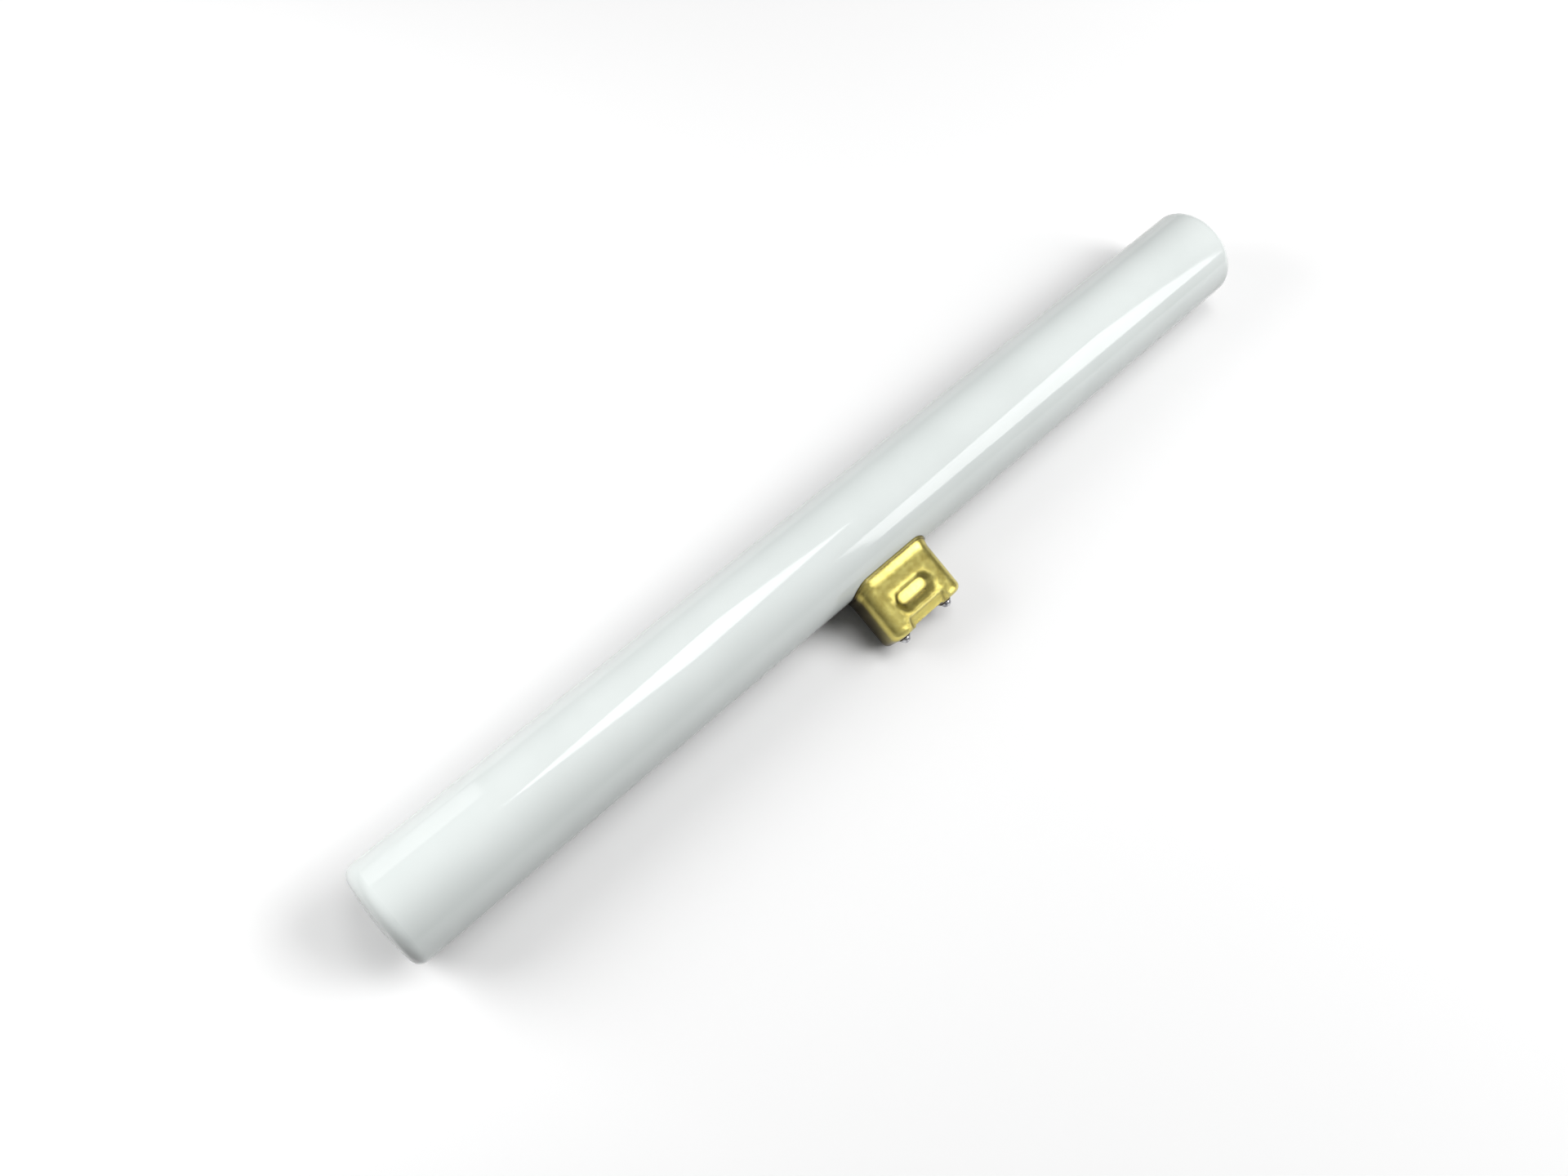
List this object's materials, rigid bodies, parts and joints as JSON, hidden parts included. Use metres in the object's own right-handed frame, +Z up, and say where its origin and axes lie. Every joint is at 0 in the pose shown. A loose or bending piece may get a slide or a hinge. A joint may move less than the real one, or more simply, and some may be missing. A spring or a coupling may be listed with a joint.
{
  "type": "linear incandescent lamp",
  "caption": "Opal glass tube lamp with rounded ends and a pressed brass plug-in cap on the middle of its side.",
  "frame": {"origin": "on the floor, under the middle of the lamp's box as it lies", "axes": "+X along the glass tube, -Y towards the cap, +Z up from the floor"},
  "size_m": [0.3, 0.045, 0.028],
  "materials": {
    "opal_glass": "glossy opal white glass",
    "cap_brass": "bright drawn brass, slightly dull",
    "cement": "dull baked cement",
    "insulator": "pale unglazed ceramic",
    "contact_brass": "plain brass",
    "solder": "dull grey solder",
    "lead_wire": "plain nickel wire"
  },
  "bodies": {
    "root": {"glass_tube": "opal_glass", "cap_shell": "cap_brass", "capping_cement": "cement", "cap_insulator": "insulator", "left_contact": "contact_brass", "right_contact": "contact_brass", "left_solder": "solder", "right_solder": "solder", "left_lead_wire": "lead_wire", "right_lead_wire": "lead_wire"}
  },
  "joints": []
}
